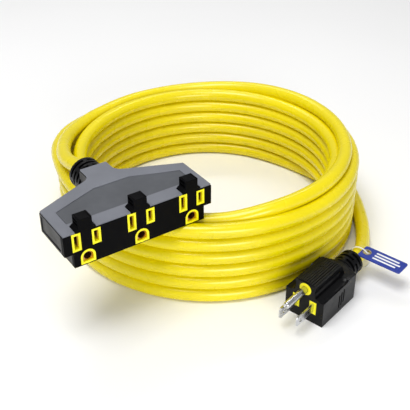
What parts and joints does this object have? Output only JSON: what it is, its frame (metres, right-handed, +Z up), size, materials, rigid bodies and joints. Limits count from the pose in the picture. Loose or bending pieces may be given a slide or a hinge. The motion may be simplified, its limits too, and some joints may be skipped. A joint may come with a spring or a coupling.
{
  "type": "coiled extension cord",
  "caption": "Coiled yellow grounded extension cord with a wide flat multi-outlet tap, a moulded three-prong plug and a marker tag on a loop.",
  "frame": {"origin": "on the ground, at the middle of the box round the tap and the plug, which leaves out the cord", "axes": "+Z up, +X across the tap towards its right end as seen from in front of its outlets, -Y the way the outlets face"},
  "size_m": [0.277, 0.2792, 0.0934],
  "materials": {
    "grey_cover": "fine-grained grey",
    "grey_panel": "fine-grained darker grey",
    "black_face": "matt black",
    "black_body": "satin black",
    "yellow_insert": "bright yellow",
    "white_holder": "plain",
    "brass_contact": "dull",
    "yellow_jacket": "semi-gloss soft vinyl",
    "white_wire": "smooth",
    "black_wire": "smooth",
    "green_wire": "smooth",
    "steel_screw": "zinc-plated",
    "plated_blade": "nickel-plated",
    "clear_line": "clear line",
    "blue_tag": "smooth blue",
    "brass_eyelet": "bright",
    "white_print": "printed"
  },
  "bodies": {
    "cord_and_ends": {"tap_cover": "black_body", "tap_cap": "grey_cover", "tap_panel": "grey_panel", "tap_base": "black_body", "tap_face": "black_face", "outlet_left": "yellow_insert", "outlet_middle": "yellow_insert", "outlet_right": "yellow_insert", "contact_carrier": "white_holder", "neutral_bus": "brass_contact", "line_bus": "brass_contact", "ground_bus": "brass_contact", "ground_barrel_left": "brass_contact", "ground_barrel_middle": "brass_contact", "ground_barrel_right": "brass_contact", "tap_relief": "black_body", "tap_jacket_end": "yellow_jacket", "tap_wire_neutral": "white_wire", "tap_wire_line": "black_wire", "tap_wire_ground": "green_wire", "tap_screw_left": "steel_screw", "tap_screw_right": "steel_screw", "plug_body": "black_body", "plug_insert": "yellow_insert", "blade_holder": "white_holder", "line_blade": "plated_blade", "neutral_blade": "plated_blade", "ground_pin": "plated_blade", "plug_relief": "black_body", "plug_jacket_end": "yellow_jacket", "plug_wire_line": "black_wire", "plug_wire_neutral": "white_wire", "plug_wire_ground": "green_wire", "cord_coil": "yellow_jacket", "cord_tap_lead": "yellow_jacket", "cord_top_turn": "yellow_jacket", "cord_plug_lead": "yellow_jacket"},
    "loop": {"tag_loop": "clear_line"},
    "tag": {"tag_plate": "blue_tag", "tag_eyelet": "brass_eyelet", "tag_stripes": "white_print"}
  },
  "joints": [
    {"name": "loop_turn", "type": "hinge", "parent": "cord_and_ends", "child": "loop", "pos_m": [0.10117, -0.04207, 0.0125], "axis": [0.9659, 0.2588, 0], "range_deg": [-35, 28]},
    {"name": "tag_swing", "type": "hinge", "parent": "loop", "child": "tag", "pos_m": [0.10298, -0.04882, 0.0185], "axis": [0.9659, 0.2588, 0], "range_deg": [-6, 4]}
  ]
}
